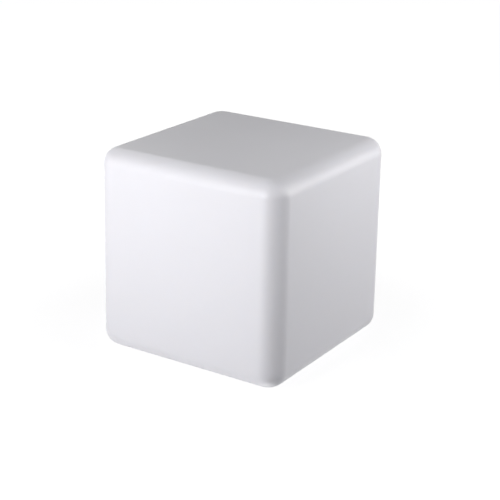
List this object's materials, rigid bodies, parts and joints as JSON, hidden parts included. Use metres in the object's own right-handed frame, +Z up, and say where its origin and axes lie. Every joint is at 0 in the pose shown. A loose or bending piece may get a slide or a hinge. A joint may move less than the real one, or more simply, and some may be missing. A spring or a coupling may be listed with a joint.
{
  "type": "led cube light",
  "caption": "Milky white rounded cube with rubber feet; a recess in its underside holds a push button, a capped charging socket and the sealed battery and light module.",
  "frame": {"origin": "on the ground under the middle of the cube, in the plane of the feet's undersides", "axes": "+Z up; -Y is the front, the large left-hand face in the picture; +X is the right-hand face in the picture"},
  "size_m": [0.3998, 0.3998, 0.4],
  "materials": {
    "abs_grey": "injection-moulded light grey ABS, fine texture",
    "acrylic_clear": "moulded clear acrylic",
    "aluminium": "punched sheet, plain",
    "board_green": "glass-fibre board with green solder mask",
    "board_white": "aluminium-backed board with white solder mask",
    "brass": "turned from hexagon bar, bare",
    "button_white": "injection-moulded white plastic, semi-gloss",
    "cell_sleeve_blue": "steel cans in shrunk blue sleeves",
    "chip_black": "black moulded packages",
    "epoxy_clear": "clear epoxy LED package",
    "foam_black": "closed-cell foam rubber, die-cut",
    "header_white": "moulded white nylon",
    "lead_sleeve_white": "extruded white sleeve",
    "led_phosphor": "yellow phosphor in white packages",
    "nickel": "nickel, plain",
    "nylon_black": "injection-moulded black nylon",
    "pad_grey": "silicone heat-transfer pad",
    "polycarbonate_clear": "injection-moulded clear polycarbonate",
    "polyethylene_white": "rotomoulded milky polyethylene, fine satin grain",
    "receiver_black": "dark infra-red window resin",
    "rubber_black": "moulded black rubber, matte",
    "silicone_grey": "moulded silicone rubber, matte",
    "stainless_steel": "cold-headed stainless steel, plain",
    "switch_red": "moulded red switch actuator",
    "wire_black": "extruded black insulation",
    "wire_red": "extruded red insulation",
    "zinc_steel": "cold-headed steel, bright zinc plated"
  },
  "bodies": {
    "housing": {"foot_front_left": "rubber_black", "foot_front_right": "rubber_black", "foot_back_left": "rubber_black", "foot_back_right": "rubber_black", "shell": "polyethylene_white", "insert_nuts": "brass", "base_gasket": "foam_black", "base_tray": "abs_grey", "base_screws": "stainless_steel", "vent_plug": "nylon_black", "vent_seal": "rubber_black", "button_spring": "stainless_steel", "push_switch": "nylon_black", "charge_socket": "nylon_black", "socket_pin": "nickel", "socket_seal": "rubber_black", "port_cap_anchor": "silicone_grey", "light_pipe": "acrylic_clear", "indicator_lamp": "epoxy_clear", "control_board": "board_green", "board_chips": "chip_black", "battery_header": "header_white", "led_header": "header_white", "control_board_screws": "zinc_steel", "battery_cells": "cell_sleeve_blue", "cell_strips": "nickel", "battery_clamp": "abs_grey", "clamp_screws": "zinc_steel", "protection_board": "board_green", "battery_lead_positive": "wire_red", "battery_lead_negative": "wire_black", "heat_spreader": "aluminium", "lead_grommet": "rubber_black", "thermal_pad": "pad_grey", "led_board": "board_white", "leds": "led_phosphor", "led_plug": "header_white", "remote_receiver": "receiver_black", "led_board_screws": "zinc_steel", "led_lead": "lead_sleeve_white", "light_cover": "polycarbonate_clear", "cover_seal": "rubber_black", "cover_screws": "stainless_steel"},
    "push_button": {"power_button": "button_white", "button_seal": "rubber_black", "switch_plunger": "switch_red"},
    "socket_cap": {"port_cap": "silicone_grey"}
  },
  "joints": [
    {"name": "button_press", "type": "slide", "parent": "housing", "child": "push_button", "axis": [0, 0, 1], "range_m": [0, 0.0016], "stiffness_N_per_m": 1460, "deforming": ["button_spring"]},
    {"name": "cap_hinge", "type": "hinge", "parent": "housing", "child": "socket_cap", "pos_m": [0.017, -0.04575, 0.022], "axis": [-1, 0, 0], "range_deg": [0, 110]}
  ]
}
